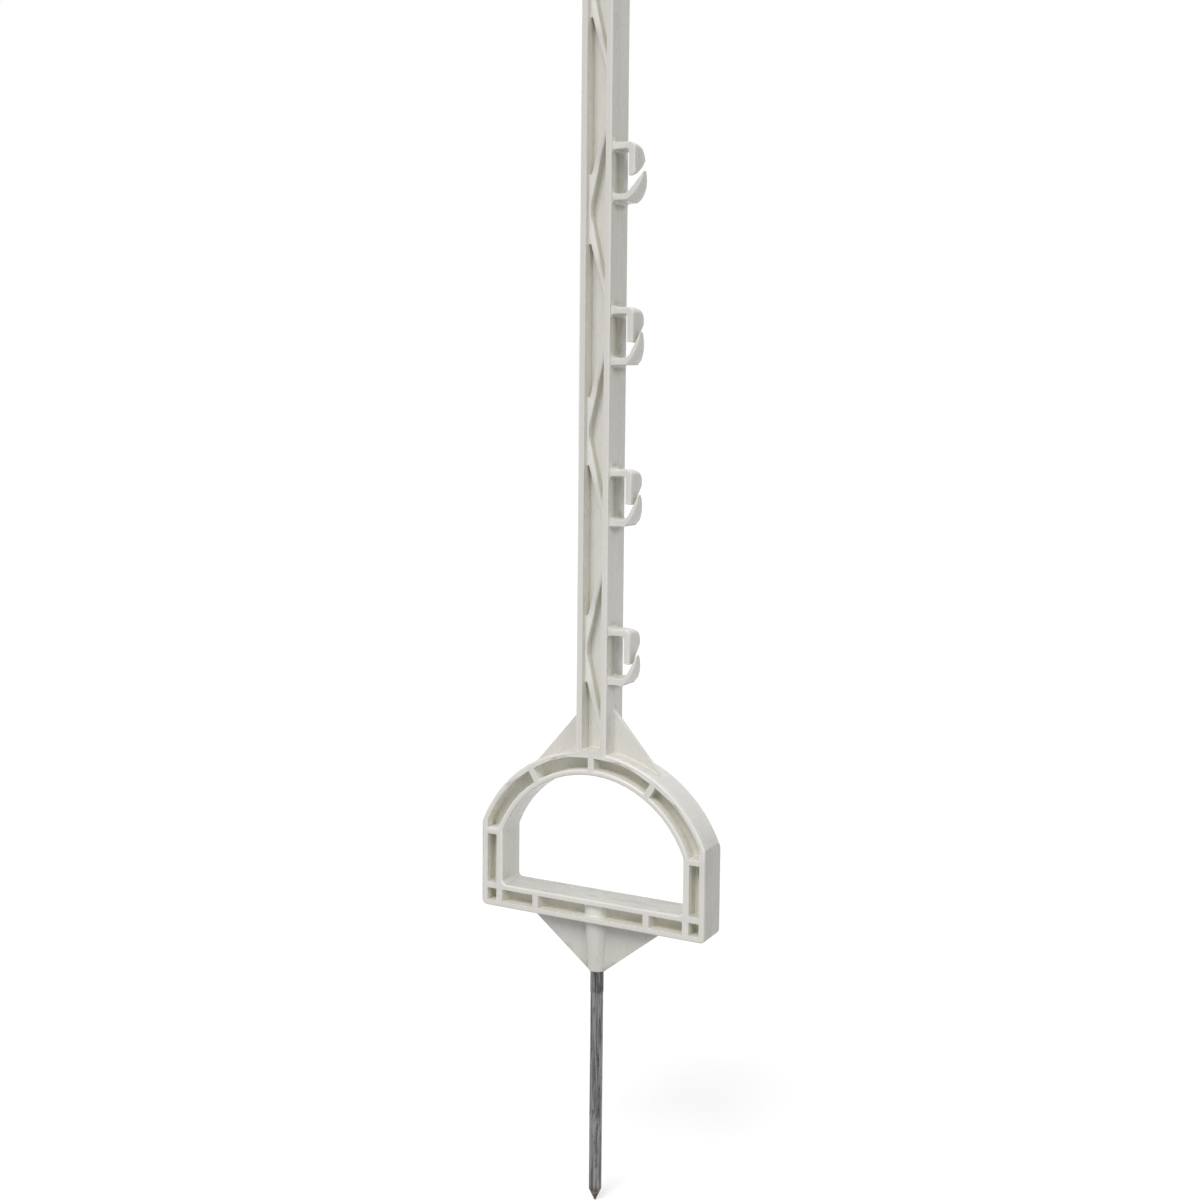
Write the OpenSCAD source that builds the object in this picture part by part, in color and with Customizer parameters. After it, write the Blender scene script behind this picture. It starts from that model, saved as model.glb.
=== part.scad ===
// Step-in fence post: one moulded plastic post with a tread-in stirrup, wire lugs and a steel ground spike.
// Lengths are in millimetres. X runs across the shaft towards the lugs, Y from the front face to the back
// face, and Z upwards. The origin is on the spike's axis, where its plain shank ends and its fluted part begins.

/* [Shaft] */
// Length of the whole post, from the point of the spike to the top of the shaft
post_l = 1050; // [960:10:1300]
// Width of the shaft, across its two flanges
shaft_w = 20.5; // [18:0.5:25]
// Depth of the shaft and of the stirrup, from front face to back face
post_d = 22.5; // [20:0.5:28]
// Thickness of each flange of the shaft
flange_t = 3.8; // [3:0.1:5]
// Thickness of the web at mid-depth that closes the channels and the pockets
web_t = 3.6; // [2:0.1:4.5]
// Thickness of the wall that closes the shaft's top end
top_t = 4; // [2:0.5:10]
// Thickness of plastic between the top of the arch and the bottom of the channels
channel_foot = 1.5; // [1:0.1:6]

/* [Zigzag ribs] */
// Spacing from one knee of the ribs to the next
knee_pitch = 133; // [110:1:160]
// Gap between two zigzags on the far flange
knee_gap = 10; // [2:0.5:24]
// Half the height of a knee where it joins its flange
knee_half = 20.5; // [14:0.5:26]
// Width of the flat ends of the slots beside a knee
slot_end_w = 1.3; // [0.5:0.1:2]
// Thickness of a knee at its inner corner
knee_land = 1.2; // [1:0.1:4]
// Half the height of the inner corner of a knee
knee_inner_half = 3.5; // [1:0.5:8]
// Height of the end of an arm on the far flange
arm_end = 8; // [4:0.5:14]
// How far the ribs lie below the face of the flanges
rib_recess = 3.8; // [1:0.1:6]

/* [Stirrup] */
// Width over the stirrup
stirrup_w = 156; // [140:1:176]
// Height of the stirrup, to the top of its arch
stirrup_h = 107.3; // [98:0.5:120]
// Thickness of the upright sides
side_t = 15.2; // [13:0.1:18]
// Thickness of the arch at its top
arch_t = 14.6; // [11:0.1:17]
// How much longer the arch's radius is than half the width of the stirrup
arch_extra_r = 6; // [2:0.5:12]
// How much longer the opening's radius is than half the width of the opening
opening_extra_r = 4.7; // [2:0.1:10]
// Height of the tread bar
bar_h = 15.2; // [12:0.5:17]
// Thickness of the rims of the arch and of the tread bar
rim_t = 3.6; // [3:0.1:4.5]
// Thickness of the rims of the upright sides
side_rim_t = 4.3; // [3.5:0.1:5.5]
// Thickness of the ribs that cross the pockets
cross_rib_t = 4.1; // [3:0.1:6]
// How far the cross ribs at the foot of the arch lie below the opening's upper corners
side_rib_drop = 1.1; // [0:0.1:6]
// Distance of the tread bar's cross ribs from the middle
bar_rib_x = 38.6; // [24:0.2:50]
// Angle of the arch's two outer cross ribs from the upright one
arch_rib_angle = 31.7; // [20:0.1:45]
// Radius of the stirrup's bottom corners
corner_r = 3.5; // [1:0.5:6]
// Radius of the bottom corners of the foot opening
opening_corner_r = 3; // [1:0.5:6]

/* [Gussets and fins] */
// Thickness of the gussets and fins, which lie at mid-depth
plate_t = 3; // [2:0.1:5]
// Height of the gussets on the shaft, above the top of the arch
gusset_rise = 26.4; // [18:0.5:36]
// Distance of the foot of a gusset from the middle
gusset_reach = 43.8; // [30:0.2:54]
// Radius of the blend between a gusset and the shaft
gusset_blend_r = 8; // [2:0.5:16]
// Distance of the outer end of a fin from the middle
fin_reach = 47; // [30:0.5:58]
// Radius of the blend between a fin and the tread bar
fin_blend_r = 12; // [2:0.5:16]

/* [Boss] */
// Height of the boss below the tread bar
boss_h = 32.5; // [25:0.1:50]
// Thickness of the boss around the spike, at its mouth
boss_wall = 1.5; // [1.2:0.1:4]
// How much the boss thickens up to the underside of the tread bar
boss_flare = 2.2; // [0.5:0.1:4]
// Thickness of plastic between the spike's end and the tread surface
socket_roof = 2.7; // [2:0.1:6]

/* [Ground spike] */
// Diameter of the spike's plain shank
spike_d = 8; // [6:0.1:9]
// Length of the spike below its fluted part, with its point
spike_free = 135.5; // [90:0.5:220]
// Length of the spike's point
point_l = 7.5; // [5:0.5:20]
// Diameter of the blunt end of the point
point_d = 1; // [0.5:0.1:2]
// How far the fluted part stands proud of the shank
flute_rise = 0.2; // [0.1:0.05:0.6]
// Length of the fluted part that shows below the boss
fluted_out = 14; // [4:0.5:24]
// Number of flutes
flute_count = 14; // [8:1:20]
// Width of a flute
flute_w = 0.6; // [0.3:0.1:0.8]

/* [Lugs] */
// Height of the lowest lug above the gussets
lug_rise = 16.6; // [4:0.1:60]
// Spacing of the lugs on the lower part of the shaft
lug_pitch = 96.7; // [70:1:110]
// Number of closed lugs below the open one
lower_lugs = 3; // [1:1:4]
// Distance of the highest lug from the top of the shaft
lug_end = 97; // [20:1:120]
// Number of closed lugs above the open one
upper_lugs = 2; // [0:1:2]
// Height of a lug
lug_h = 34.2; // [31:0.1:40]
// Clear width between the shaft and the leg of a lug
lug_gap = 10.8; // [9:0.1:16]
// Thickness of the arms of a lug
lug_t = 4.1; // [3:0.1:5.5]
// Width of the leg of a lug
leg_w = 4.2; // [3:0.1:6]
// Length of the leg of a closed lug, from the top of the lug
closed_leg_l = 21.1; // [16:0.1:24]
// Length of the leg of the open lug, from the top of the lug
open_leg_l = 20; // [16:0.1:22]
// How far the arms lie below the front face and the back face of the shaft
lug_inset = 1.2; // [0.5:0.1:3]
// How much an arm loses in depth at the back, for each millimetre away from the shaft
lug_taper = 0.36; // [0.1:0.01:0.6]
// Radius of the outer corner of a lug
lug_corner_r = 4; // [1:0.5:5]
// Radius of the back edge on top of a closed lug
closed_back_r = 8; // [4:0.5:9]
// Radius of the back edge on top of the open lug
open_back_r = 13; // [6:0.5:13.5]
// Radius of the inner corner of a lug
lug_inner_r = 1.5; // [0.5:0.1:3]
// Radius of the blends at the roots of the arms
lug_root_r = 2; // [0.5:0.1:3]

/* [Lug entries] */
// Entry beside the leg of a closed lug
closed_entry = 1.2; // [0.8:0.1:2.5]
// Distance of a closed hook's tip from the leg
closed_tip_x = 4.9; // [3:0.05:6]
// Height of a closed hook's tip above the end of the leg
closed_tip_z = 6.7; // [3:0.1:8]
// Radius of the outside of a closed hook
closed_arc_r = 28; // [18:0.5:40]
// Entry beside the leg of the open lug
open_entry = 3.6; // [2.8:0.1:4.2]
// Distance of the open hook's tip from the leg
open_tip_x = 6; // [4.8:0.05:7]
// Height of the open hook's tip above the end of the leg
open_tip_z = 2.7; // [1.5:0.1:4]
// Radius of the outside of the open hook
open_arc_r = 22; // [17:1:60]
// Depth of a closed hook halfway up to its tip
closed_hook_d = 9.5; // [5:0.5:12]
// Depth of the open hook halfway up to its tip
open_hook_d = 9.5; // [5:0.5:13]
// How far a hook's outer arc starts before its inner face
hook_heel = 1.2; // [0.5:0.1:3]
// Radius of the blend between a hook and its arm
hook_blend_r = 5; // [1:0.5:6]

/* [Hidden] */
$fn = 64;

plastic_colour = [0.91, 0.90, 0.86];
steel_colour = [0.55, 0.56, 0.57];

// Cuts run past the faces that they open, and joined solids run into each other, by these lengths
past = 1;
bite = 0.5;
// An arc meets its lines at a slight angle, larger or nearer than a tangent one by this share of its radius
crossing = 0.001;

// Height of the tread bar's underside; the heights that follow are measured from it
bar_z = fluted_out + boss_h;
top_z = post_l - spike_free - bar_z;
channel_z = stirrup_h + channel_foot;
channel_top = top_z - top_t;
socket_h = boss_h + bar_h - socket_roof;

// Diameters of the fluted part and of the boss around it
fluted_d = spike_d + 2 * flute_rise;
boss_mouth_d = fluted_d + 2 * boss_wall;
boss_root_d = boss_mouth_d + 2 * boss_flare;

// Half widths and depths
shaft_half = shaft_w / 2;
channel_half = shaft_half - flange_t;
pocket_d = (post_d - web_t) / 2;
opening_half = stirrup_w / 2 - side_t;
arch_r = stirrup_w / 2 + arch_extra_r;
arch_z = stirrup_h - arch_r;
opening_r = opening_half + opening_extra_r;
opening_z = stirrup_h - arch_t - opening_r;
side_rib_z = on_circle(opening_r, opening_z, opening_half) - side_rib_drop;
seat_r = arch_r - rim_t / 2;

// The boss keeps its taper up into the tread bar
boss_taper = (boss_root_d - boss_mouth_d) / boss_h;
boss_top = bar_h - rim_t / 2;
boss_top_d = boss_root_d + boss_taper * boss_top;

// Zigzags: the lowest one starts at the bottom of the channel, and as many follow as the channel holds
arm_reach = (knee_pitch - knee_gap) / 2;
knee_z = channel_z + arm_reach;
knee_count = floor((channel_top - arm_reach - knee_z) / knee_pitch) + 1;

// Lugs
lug_d = post_d - 2 * lug_inset;
lug_reach = lug_gap + leg_w + max(closed_tip_x, open_tip_x) + past;
arm_top = lug_t - lug_h;
lug_z = stirrup_h + gusset_rise + lug_rise + lug_h;
open_lug_z = lug_z + lower_lugs * lug_pitch;
upper_lug_pitch = (top_z - lug_end - open_lug_z) / max(upper_lugs, 1);
// The leg and the hook run out towards the front over their free length; this is a leg's depth halfway down
leg_mid_d = 10.5;
// Depths at the ends of a closed leg, of the open leg and of a hook
closed_leg_end_d = 5;
open_leg_end_d = 1.5;
hook_end_d = 3.2;
// The back of the leg starts to run out this far below the underside of its arm
leg_shoulder = 4.2;
// The end of a leg rises towards the shaft and is cut at its outer corner
closed_leg_rise = 0.4;
closed_leg_cut = 0.5;
open_leg_rise = 0.2;
open_leg_cut = 1.8;

function unit(v) = v / norm(v);

// Height on a circle about [0, z] at the distance x from the middle
function on_circle(r, z, x) = z + sqrt(r * r - x * x);

// Depth of a lug's back face at the distance x from the shaft
function lug_back(x) = lug_d / 2 - lug_taper * x;

// Centre of the arc of radius r that runs from p to q, bulging away from the shaft and down
function arc_centre(p, q, r) =
    let (half = (q - p) / 2, left = [-half.y, half.x])
    p + half + unit(left) * sqrt(r * r - half * half);

// Profile in X and Z carried through the depth d, about mid-depth
module through(d) {
    rotate([90, 0, 0]) linear_extrude(height = d, center = true) children();
}

// Profile in X and Z cut to the depth d into the front face and the back face
module sunk(d) {
    for (side = [0, 1])
        mirror([0, side, 0])
            translate([0, d - post_d / 2, 0])
                rotate([90, 0, 0]) linear_extrude(height = d + past) children();
}

module both_sides() {
    for (side = [0, 1])
        mirror([side, 0]) children();
}

// Concave blend of radius r in the corner at p, between the directions a and b
module blend(p, a, b, r) {
    u = unit(a);
    v = unit(b);
    half = acos(u * v) / 2;
    run = r / tan(half);
    centre = p + unit(u + v) * (1 - crossing) * r / sin(half);
    difference() {
        polygon([p - unit(u + v) * bite, p + u * run, centre, p + v * run]);
        translate(centre) circle(r);
    }
}

// What a convex corner at p loses when it is rounded to the radius r, with sx and sz pointing outwards
module corner_waste(p, sx, sz, r) {
    translate(p) scale([sx, sz])
        difference() {
            translate([-r, -r]) square(r + past);
            translate([-r, -r]) circle(r * (1 + crossing));
        }
}

// A flat base, upright sides and an arch of radius r about the height z
module arch_shape(half, base, r, z) {
    intersection() {
        translate([-half, base]) square([2 * half, r + z - base]);
        translate([0, z]) circle(r, $fn = 160);
    }
}

module foot_opening() {
    difference() {
        arch_shape(opening_half, bar_h, opening_r, opening_z);
        both_sides() corner_waste([opening_half, bar_h], 1, -1, opening_corner_r);
    }
}

module stirrup_outline() {
    difference() {
        arch_shape(stirrup_w / 2, 0, arch_r, arch_z);
        both_sides() corner_waste([stirrup_w / 2, 0], 1, -1, corner_r);
        foot_opening();
    }
}

// The shaft starts inside the rim of the arch
module shaft_outline() {
    difference() {
        translate([-shaft_half, stirrup_h - arch_r / 2]) square([shaft_w, top_z - stirrup_h + arch_r / 2]);
        translate([0, arch_z]) circle(seat_r, $fn = 160);
    }
}

module stirrup_ribs() {
    for (angle = [-arch_rib_angle, 0, arch_rib_angle])
        translate([0, arch_z]) rotate(angle)
            translate([-cross_rib_t / 2, 0]) square([cross_rib_t, arch_r]);
    translate([-stirrup_w / 2, side_rib_z - cross_rib_t / 2]) square([stirrup_w, cross_rib_t]);
    both_sides() {
        translate([bar_rib_x - cross_rib_t / 2, 0]) square([cross_rib_t, bar_h]);
        translate([opening_half, 0]) square([side_rim_t, bar_h]);
        translate([opening_half, bar_h - rim_t]) square([stirrup_w / 2 - opening_half, cross_rib_t]);
    }
}

module stirrup_pockets() {
    difference() {
        arch_shape(stirrup_w / 2 - side_rim_t, rim_t, arch_r - rim_t, arch_z);
        arch_shape(opening_half + side_rim_t, bar_h - rim_t, opening_r + rim_t, opening_z);
        stirrup_ribs();
    }
}

module channel() {
    translate([-channel_half, channel_z]) square([2 * channel_half, channel_top - channel_z]);
}

// One knee on the flange away from the lugs, with an arm up and an arm down to the other flange
module zigzag() {
    far = channel_half + bite;
    near = -channel_half - bite;
    polygon([
        [near, -knee_half],
        [near, knee_half],
        [slot_end_w - channel_half, knee_half],
        [far, arm_reach],
        [far, arm_reach - arm_end],
        [knee_land - channel_half, knee_inner_half],
        [knee_land - channel_half, -knee_inner_half],
        [far, arm_end - arm_reach],
        [far, -arm_reach],
        [slot_end_w - channel_half, -knee_half]
    ]);
}

module zigzags() {
    for (i = [0 : knee_count - 1])
        translate([0, knee_z + i * knee_pitch]) zigzag();
}

module gussets() {
    apex = [shaft_half, stirrup_h + gusset_rise];
    foot = [gusset_reach, on_circle(arch_r, arch_z, gusset_reach)];
    both_sides() {
        difference() {
            polygon([[0, foot.y], [0, apex.y], apex, foot]);
            translate([0, arch_z]) circle(seat_r, $fn = 160);
        }
        blend(apex, [0, 1], foot - apex, gusset_blend_r);
    }
}

module fins() {
    root = [fin_reach, 0];
    mouth = [boss_mouth_d / 2, -boss_h];
    both_sides() {
        polygon([[0, rim_t / 2], [fin_reach, rim_t / 2], root, mouth, [0, -boss_h]]);
        blend(root, [1, 0], mouth - root, fin_blend_r);
    }
}

module boss() {
    translate([0, 0, -boss_h])
        cylinder(h = boss_h + boss_top, d1 = boss_mouth_d, d2 = boss_top_d);
}

module upper_arm(leg_l, leg_rise, leg_cut) {
    outer = lug_gap + leg_w;
    difference() {
        union() {
            translate([-past, -lug_t]) square([past + lug_gap + bite, lug_t]);
            polygon([
                [lug_gap, 0],
                [lug_gap, leg_rise - leg_l],
                [outer - leg_cut, -leg_l],
                [outer, leg_cut - leg_l],
                [outer, 0]
            ]);
            blend([lug_gap, -lug_t], [-1, 0], [0, -1], lug_inner_r);
            blend([0, 0], [1, 0], [0, 1], lug_root_r);
            blend([0, -lug_t], [1, 0], [0, -1], lug_root_r);
        }
        corner_waste([outer, 0], 1, 1, lug_corner_r);
    }
}

// The hook's inner face is the line through its tip that leaves the entry beside the end of the leg
module lower_arm(leg_l, entry, tip_x, tip_z, arc_r) {
    gate = [lug_gap + leg_w + entry, -leg_l];
    tip = [lug_gap + leg_w + tip_x, tip_z - leg_l];
    rise = tip - gate;
    heel = [gate.x - (gate.y - arm_top) * rise.x / rise.y, arm_top];
    arc_start = [heel.x - hook_heel, -lug_h];
    translate([-past, -lug_h]) square([past + arc_start.x + bite, lug_t]);
    intersection() {
        translate(arc_centre(arc_start, tip, arc_r)) circle(arc_r, $fn = 160);
        union() {
            translate([arc_start.x, -lug_h]) square([lug_reach, lug_t]);
            polygon([heel, tip, [lug_reach + past, tip.y], [lug_reach + past, -lug_h], [heel.x, -lug_h]]);
            blend(heel, [-1, 0], rise, hook_blend_r);
        }
    }
    blend([0, arm_top], [1, 0], [0, 1], lug_root_r);
    blend([0, -lug_h], [1, 0], [0, -1], lug_root_r);
}

// What is cut from the back of a leg or a hook: it runs from its full depth at the height z to the
// depth mid_d halfway, and on to the depth end_d at the height end_z
module runout(z, end_z, mid_d, end_d) {
    front = -lug_d / 2;
    beyond = end_z + sign(end_z - z) * past;
    rotate([90, 0, 90])
        linear_extrude(height = lug_reach + past)
            polygon([
                [lug_back(lug_gap), z],
                [front + mid_d, (z + end_z) / 2],
                [front + end_d, end_z],
                [front + end_d, beyond],
                [lug_d, beyond],
                [lug_d, z]
            ]);
}

// What the back edge on top of a lug loses when it is rounded to the radius r
module back_edge_waste(r) {
    translate([0, lug_back(0), 0])
        rotate([90, 0, 90 - atan(lug_taper)])
            translate([0, 0, -post_d])
                linear_extrude(height = post_d + 2 * lug_reach)
                    translate([-r, -r])
                        difference() {
                            square(2 * r);
                            circle(r * (1 + crossing));
                        }
}

module lug(leg_l, entry, tip_x, tip_z, arc_r, hook_d, back_r, leg_end_d, leg_rise, leg_cut) {
    intersection() {
        translate([0, 0, -lug_h - 2 * lug_root_r])
            linear_extrude(height = lug_h + 4 * lug_root_r)
                polygon([
                    [-past, -lug_d / 2],
                    [lug_reach, -lug_d / 2],
                    [lug_reach, lug_back(lug_reach)],
                    [-past, lug_back(-past)]
                ]);
        union() {
            difference() {
                through(post_d) upper_arm(leg_l, leg_rise, leg_cut);
                runout(-lug_t - leg_shoulder, -leg_l, leg_mid_d, leg_end_d);
                back_edge_waste(back_r);
            }
            difference() {
                through(post_d) lower_arm(leg_l, entry, tip_x, tip_z, arc_r);
                runout(arm_top - lug_t / 2, tip_z - leg_l, hook_d, hook_end_d);
            }
        }
    }
}

module closed_lug() {
    lug(closed_leg_l, closed_entry, closed_tip_x, closed_tip_z, closed_arc_r, closed_hook_d,
        closed_back_r, closed_leg_end_d, closed_leg_rise, closed_leg_cut);
}

module open_lug() {
    lug(open_leg_l, open_entry, open_tip_x, open_tip_z, open_arc_r, open_hook_d,
        open_back_r, open_leg_end_d, open_leg_rise, open_leg_cut);
}

module lugs() {
    for (i = [0 : 1 : lower_lugs - 1])
        translate([shaft_half, 0, lug_z + i * lug_pitch]) closed_lug();
    translate([shaft_half, 0, open_lug_z]) open_lug();
    for (i = [1 : 1 : upper_lugs])
        translate([shaft_half, 0, open_lug_z + i * upper_lug_pitch]) closed_lug();
}

// Section of the spike's fluted part, which the socket grips
module fluted_section() {
    difference() {
        circle(d = fluted_d);
        for (i = [0 : flute_count - 1])
            rotate(i * 360 / flute_count) translate([fluted_d / 2, 0])
                rotate(45) square(flute_w, center = true);
    }
}

module fluted_part() {
    linear_extrude(height = socket_h + fluted_out) fluted_section();
}

module post_moulding() {
    color(plastic_colour)
        difference() {
            translate([0, 0, bar_z])
                union() {
                    difference() {
                        through(post_d) {
                            stirrup_outline();
                            shaft_outline();
                        }
                        sunk(pocket_d) {
                            stirrup_pockets();
                            difference() {
                                channel();
                                zigzags();
                            }
                        }
                        sunk(rib_recess) channel();
                    }
                    through(plate_t) {
                        gussets();
                        fins();
                    }
                    boss();
                    lugs();
                }
            translate([0, 0, -past]) linear_extrude(height = past + fluted_out + socket_h) fluted_section();
        }
}

module ground_spike() {
    color(steel_colour)
        union() {
            fluted_part();
            translate([0, 0, point_l - spike_free]) cylinder(h = spike_free - point_l, d = spike_d);
            translate([0, 0, -spike_free]) cylinder(h = point_l, d1 = point_d, d2 = spike_d);
        }
}

post_moulding();
ground_spike();
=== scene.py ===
"""Looks of the step-in fence post: a satin off-white moulding on a drawn steel spike, on a plain pale floor."""

import logging
import math
from dataclasses import dataclass, field
from enum import Enum
from typing import Any

import bmesh
import bpy
import numpy as np
from mathutils import Matrix, Vector
from mathutils.bvhtree import BVHTree
from numpy.typing import NDArray


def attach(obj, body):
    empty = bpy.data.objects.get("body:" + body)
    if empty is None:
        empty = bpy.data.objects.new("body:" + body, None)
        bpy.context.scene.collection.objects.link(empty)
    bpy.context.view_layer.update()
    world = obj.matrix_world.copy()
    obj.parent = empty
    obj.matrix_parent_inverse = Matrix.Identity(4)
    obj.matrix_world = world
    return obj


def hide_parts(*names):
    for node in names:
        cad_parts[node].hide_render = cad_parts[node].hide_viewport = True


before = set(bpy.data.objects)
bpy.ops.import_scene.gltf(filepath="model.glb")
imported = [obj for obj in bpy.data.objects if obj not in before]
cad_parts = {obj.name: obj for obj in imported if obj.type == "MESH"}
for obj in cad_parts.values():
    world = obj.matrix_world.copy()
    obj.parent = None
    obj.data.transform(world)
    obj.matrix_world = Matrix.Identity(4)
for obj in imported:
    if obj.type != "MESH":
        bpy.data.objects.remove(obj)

MM = 0.001
ROOT_BODY = "root"

Array = NDArray[np.float64]
Colour = tuple[float, float, float]

log = logging.getLogger("fence_post")


class Slot(Enum):
    """Material slots of the record."""

    MOULDING = "moulding"
    SPIKE = "spike"


class CadNode(Enum):
    """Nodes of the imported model."""

    MOULDING = "post_moulding"
    SPIKE = "ground_spike"


class Axis(Enum):
    """An axis of the post's frame, by its place in a vector."""

    X = 0
    Y = 1
    Z = 2


def opaque(colour: Colour) -> tuple[float, float, float, float]:
    """Give a colour full opacity."""
    return (*colour, 1.0)


def smooth_step(values: Array, low: float, high: float) -> Array:
    """Ease values from 0 at low to 1 at high.

    The share of the way from low to high, held within 0 and 1, goes through three times its square less twice
    its cube.

    Args:
        values: Numbers to ease.
        low: Value that gives 0.
        high: Value that gives 1.

    Returns:
        The eased numbers.
    """
    share = np.clip((values - low) / (high - low), 0.0, 1.0)
    return share * share * (3.0 - 2.0 * share)


@dataclass
class NodeBench:
    """Builds one node material, and lays its nodes out in the order in which they are made.

    Args:
        name: Name of the material.
    """

    name: str
    material: bpy.types.Material = field(init=False)
    count: int = field(init=False, default=0)

    def __post_init__(self) -> None:
        """Start an empty material with its output."""
        self.material = bpy.data.materials.new(self.name)
        self.material.use_nodes = True
        self.material.node_tree.nodes.clear()
        self.output = self.add("ShaderNodeOutputMaterial")

    def add(self, kind: str, **settings: Any) -> bpy.types.Node:
        """Add a node.

        Args:
            kind: Blender's name for the kind of node.
            **settings: Properties set on the node.

        Returns:
            The node.
        """
        node = self.material.node_tree.nodes.new(kind)
        node.location = (220.0 * (self.count % 8), -260.0 * (self.count // 8))
        self.count += 1
        for key, value in settings.items():
            setattr(node, key, value)
        return node

    def feed(self, value: Any, socket: bpy.types.NodeSocket) -> None:
        """Link an output to a socket, or set the socket where the value is a plain number or colour.

        Args:
            value: An output socket, a number or a tuple.
            socket: Input that takes it.
        """
        if isinstance(value, bpy.types.NodeSocket):
            self.material.node_tree.links.new(value, socket)
        else:
            socket.default_value = value

    def maths(self, operation: str, *values: Any, clamp: bool = False) -> bpy.types.NodeSocket:
        """Work out one number from one, two or three.

        Args:
            operation: Name of the operation.
            *values: Its inputs, in order.
            clamp: Whether the result is held within 0 and 1.

        Returns:
            The result's socket.
        """
        node = self.add("ShaderNodeMath", operation=operation, use_clamp=clamp)
        for value, socket in zip(values, node.inputs):
            self.feed(value, socket)
        return node.outputs[0]

    def ramp(self, value: Any, low: float, high: float, start: float = 0.0, end: float = 1.0) -> bpy.types.NodeSocket:
        """Ease a number from start, where it is low, to end, where it is high.

        Args:
            value: The number.
            low: Value that gives start.
            high: Value that gives end.
            start: Result at low.
            end: Result at high.

        Returns:
            The result's socket.
        """
        node = self.add("ShaderNodeMapRange", interpolation_type="SMOOTHSTEP", clamp=True)
        for item, socket in zip((value, low, high, start, end), node.inputs):
            self.feed(item, socket)
        return node.outputs[0]

    def mix(self, share: Any, first: Any, second: Any) -> bpy.types.NodeSocket:
        """Blend two colours.

        Args:
            share: Share of the second colour, from 0 to 1.
            first: First colour.
            second: Second colour.

        Returns:
            The blend's socket.
        """
        node = self.add("ShaderNodeMix", data_type="RGBA")
        self.feed(share, node.inputs["Factor"])
        self.feed(first if isinstance(first, bpy.types.NodeSocket) else opaque(first), node.inputs[6])
        self.feed(second if isinstance(second, bpy.types.NodeSocket) else opaque(second), node.inputs[7])
        return node.outputs[2]

    def noise(self, scale: tuple[float, float, float], detail: float = 3.0, rough: float = 0.5) -> bpy.types.NodeSocket:
        """Read a noise pattern fixed to the post's own frame.

        Args:
            scale: Waves per metre along X, Y and Z.
            detail: Number of finer layers.
            rough: Strength of the finer layers.

        Returns:
            The noise's socket, around 0.5.
        """
        place = self.add("ShaderNodeTexCoord")
        mapping = self.add("ShaderNodeMapping")
        self.feed(place.outputs["Object"], mapping.inputs["Vector"])
        mapping.inputs["Scale"].default_value = scale
        node = self.add("ShaderNodeTexNoise", noise_dimensions="3D")
        self.feed(mapping.outputs["Vector"], node.inputs["Vector"])
        self.feed(1.0, node.inputs["Scale"])
        self.feed(detail, node.inputs["Detail"])
        self.feed(rough, node.inputs["Roughness"])
        return node.outputs["Fac"]

    def place(self, axis: Axis) -> bpy.types.NodeSocket:
        """Read a point's place along one axis of the post's frame, in metres."""
        coordinates = self.add("ShaderNodeTexCoord")
        split = self.add("ShaderNodeSeparateXYZ")
        self.feed(coordinates.outputs["Object"], split.inputs[0])
        return split.outputs[axis.value]

    def facing(self, axis: Axis) -> bpy.types.NodeSocket:
        """Read how far the surface faces along one axis, from -1 to 1."""
        geometry = self.add("ShaderNodeNewGeometry")
        split = self.add("ShaderNodeSeparateXYZ")
        self.feed(geometry.outputs["Normal"], split.inputs[0])
        return split.outputs[axis.value]

    def attribute(self, name: str) -> bpy.types.NodeSocket:
        """Read a number stored on the mesh."""
        return self.add("ShaderNodeAttribute", attribute_name=name).outputs["Fac"]

    def bump(self, height: Any, distance: float, strength: float, under: Any = None) -> bpy.types.NodeSocket:
        """Turn a height into a normal.

        Args:
            height: Height pattern.
            distance: Depth of a height of 1, in metres.
            strength: Share of the effect.
            under: Normal that this one is laid on, if any.

        Returns:
            The normal's socket.
        """
        node = self.add("ShaderNodeBump")
        self.feed(height, node.inputs["Height"])
        self.feed(distance, node.inputs["Distance"])
        self.feed(strength, node.inputs["Strength"])
        if under is not None:
            self.feed(under, node.inputs["Normal"])
        return node.outputs["Normal"]


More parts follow.
